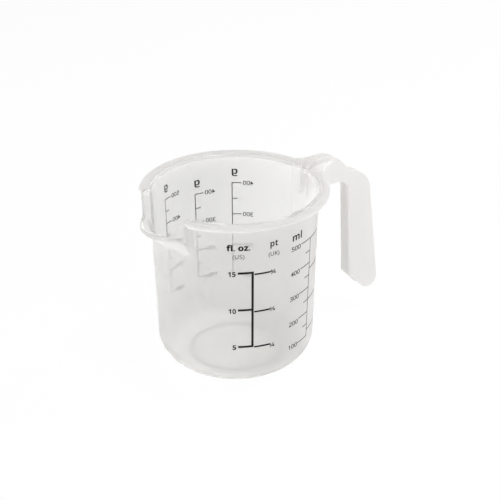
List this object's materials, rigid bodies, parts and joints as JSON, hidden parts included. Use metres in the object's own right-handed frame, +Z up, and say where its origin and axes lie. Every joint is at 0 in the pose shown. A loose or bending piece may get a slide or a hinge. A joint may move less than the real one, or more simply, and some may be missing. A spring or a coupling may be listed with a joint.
{
  "type": "measuring jug",
  "caption": "Small translucent plastic measuring jug with a flat flanged rim, a dropped pouring spout, an open hook handle opposite it and printed measuring scales on the wall.",
  "frame": {"origin": "centre of the ring that the jug stands on, at table height, on the axis of the wall", "axes": "+Z up along the axis of the wall, +X towards the handle, -X towards the spout, +Y to the left of someone looking along +X"},
  "size_m": [0.1586, 0.1068, 0.111],
  "materials": {
    "frosted_plastic": "natural translucent polypropylene, finely frosted, with a faint warm grey tone",
    "print_ink": "dark grey-black printed ink, dull"
  },
  "bodies": {
    "root": {"floor_pan": "frosted_plastic", "cup_wall": "frosted_plastic", "rim_flange": "frosted_plastic", "spout_front": "frosted_plastic", "spout_cheeks": "frosted_plastic", "handle_panel": "frosted_plastic", "handle_web": "frosted_plastic", "handle_wall_right": "frosted_plastic", "handle_wall_left": "frosted_plastic", "handle_root_fillets": "frosted_plastic", "scale_ml": "print_ink", "scale_quarters": "print_ink", "scale_fl_oz": "print_ink", "scale_pint": "print_ink", "scale_dry_light": "print_ink", "scale_dry_medium": "print_ink", "scale_dry_dense": "print_ink"}
  },
  "joints": []
}
